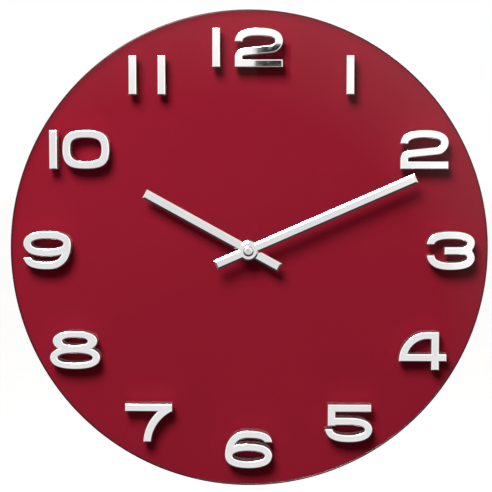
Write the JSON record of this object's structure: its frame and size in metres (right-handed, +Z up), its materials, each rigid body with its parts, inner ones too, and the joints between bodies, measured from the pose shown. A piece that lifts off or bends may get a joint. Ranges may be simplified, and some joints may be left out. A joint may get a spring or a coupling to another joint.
{
  "type": "wall clock",
  "caption": "Round frameless glass wall clock, red dial with raised chrome numerals and plain baton hands, quartz movement in a shallow rear housing with a keyhole hanger.",
  "frame": {"origin": "the hands' axis where it meets the wall plane, which is the housing's back face", "axes": "+X to the right seen from the front, +Z up, +Y into the wall; the dial faces -Y"},
  "size_m": [0.35, 0.0389, 0.35],
  "materials": {
    "glass": "polished clear glass with bevelled edge",
    "red_enamel": "deep red opaque coat seen through the glass",
    "chrome_numerals": "mirror chrome plate on moulded digits",
    "chrome_hands": "polished metal",
    "adhesive_foam": "double-sided foam tape",
    "brass": "turned brass",
    "black_rubber": "soft rubber",
    "housing_plastic": "fine textured moulding",
    "movement_plastic": "satin moulding",
    "zinc_steel": "zinc plated",
    "bridge_plastic": "plain moulding",
    "wheel_plastic": "plain moulding",
    "knob_plastic": "satin moulding",
    "steel": "plain",
    "spring_steel": "nickel plated strip",
    "magnet": "sintered",
    "bobbin_plastic": "plain moulding",
    "copper": "enamelled copper wire",
    "board": "lacquered board",
    "epoxy": "cured drop",
    "crystal_can": "drawn can",
    "cell_steel": "nickel plated can",
    "cell_wrap": "plain shrink sleeve"
  },
  "bodies": {
    "clock_body": {"glass_dial": "glass", "colour_layer": "red_enamel", "numeral_1": "chrome_numerals", "numeral_2": "chrome_numerals", "numeral_3": "chrome_numerals", "numeral_4": "chrome_numerals", "numeral_5": "chrome_numerals", "numeral_6": "chrome_numerals", "numeral_7": "chrome_numerals", "numeral_8": "chrome_numerals", "numeral_9": "chrome_numerals", "numeral_10": "chrome_numerals", "numeral_11": "chrome_numerals", "numeral_12": "chrome_numerals", "numeral_adhesive": "adhesive_foam", "housing_tape": "adhesive_foam", "dial_nut": "brass", "dial_washer": "brass", "centre_bush": "brass", "movement_gasket": "black_rubber", "wall_pads": "black_rubber", "rear_housing": "housing_plastic", "movement_case": "movement_plastic", "movement_cover": "movement_plastic", "hanger_plate": "zinc_steel", "hanger_screws": "zinc_steel", "train_bridge": "bridge_plastic", "stator": "steel", "coil_core": "steel", "stator_screws": "steel", "contact_positive": "spring_steel", "contact_negative": "spring_steel", "coil_bobbin": "bobbin_plastic", "coil_winding": "copper", "circuit_board": "board", "chip_blob": "epoxy", "quartz_crystal": "crystal_can"},
    "minute_hand": {"minute_hand": "chrome_hands", "minute_hand_collet": "brass", "hand_cap": "chrome_hands", "minute_arbor": "steel", "centre_wheel": "wheel_plastic", "clutch_spring": "spring_steel"},
    "hour_hand": {"hour_hand": "chrome_hands", "hour_hand_collet": "brass", "hour_wheel": "wheel_plastic"},
    "minute_wheel": {"minute_wheel": "wheel_plastic"},
    "setting_knob": {"setting_knob": "knob_plastic"},
    "third_wheel": {"third_wheel": "wheel_plastic"},
    "seconds_wheel": {"seconds_wheel": "wheel_plastic"},
    "step_wheel": {"step_wheel": "wheel_plastic"},
    "rotor": {"rotor_pinion": "wheel_plastic", "rotor_magnet": "magnet"},
    "cell": {"cell_can": "cell_steel", "cell_sleeve": "cell_wrap"}
  },
  "joints": [
    {"name": "minute_hand_turn", "type": "hinge", "parent": "clock_body", "child": "minute_hand", "pos_m": [0, -0.0277, 0], "axis": [0, 1, 0], "continuous": true},
    {"name": "hour_hand_turn", "type": "hinge", "parent": "clock_body", "child": "hour_hand", "pos_m": [0, -0.0277, 0], "axis": [0, 1, 0], "continuous": true},
    {"name": "minute_wheel_turn", "type": "hinge", "parent": "clock_body", "child": "minute_wheel", "pos_m": [0.0084, -0.0165, 0], "axis": [0, 1, 0], "continuous": true},
    {"name": "setting_knob_turn", "type": "hinge", "parent": "clock_body", "child": "setting_knob", "pos_m": [0.01629, -0.0065, 0.00287], "axis": [0, 1, 0], "continuous": true},
    {"name": "third_wheel_turn", "type": "hinge", "parent": "clock_body", "child": "third_wheel", "pos_m": [-0.00918, -0.0119, 0], "axis": [0, 1, 0], "continuous": true},
    {"name": "seconds_wheel_turn", "type": "hinge", "parent": "clock_body", "child": "seconds_wheel", "pos_m": [0, -0.0102, 0], "axis": [0, 1, 0], "continuous": true},
    {"name": "step_wheel_turn", "type": "hinge", "parent": "clock_body", "child": "step_wheel", "pos_m": [0.00217, -0.0085, 0.00811], "axis": [0, 1, 0], "continuous": true},
    {"name": "rotor_turn", "type": "hinge", "parent": "clock_body", "child": "rotor", "pos_m": [0.00613, -0.0085, 0.01497], "axis": [0, 1, 0], "continuous": true},
    {"name": "cell_slide", "type": "slide", "parent": "clock_body", "child": "cell", "axis": [0, 1, 0], "range_m": [0, 0.03]}
  ],
  "couplings": [
    {"joint": "hour_hand_turn", "follows": "minute_hand_turn", "ratio": 0.083333},
    {"joint": "minute_wheel_turn", "follows": "minute_hand_turn", "ratio": -0.33333},
    {"joint": "setting_knob_turn", "follows": "minute_hand_turn", "ratio": 1},
    {"joint": "third_wheel_turn", "follows": "minute_hand_turn", "ratio": -8},
    {"joint": "seconds_wheel_turn", "follows": "minute_hand_turn", "ratio": 60},
    {"joint": "step_wheel_turn", "follows": "minute_hand_turn", "ratio": -360},
    {"joint": "rotor_turn", "follows": "minute_hand_turn", "ratio": 1800}
  ]
}
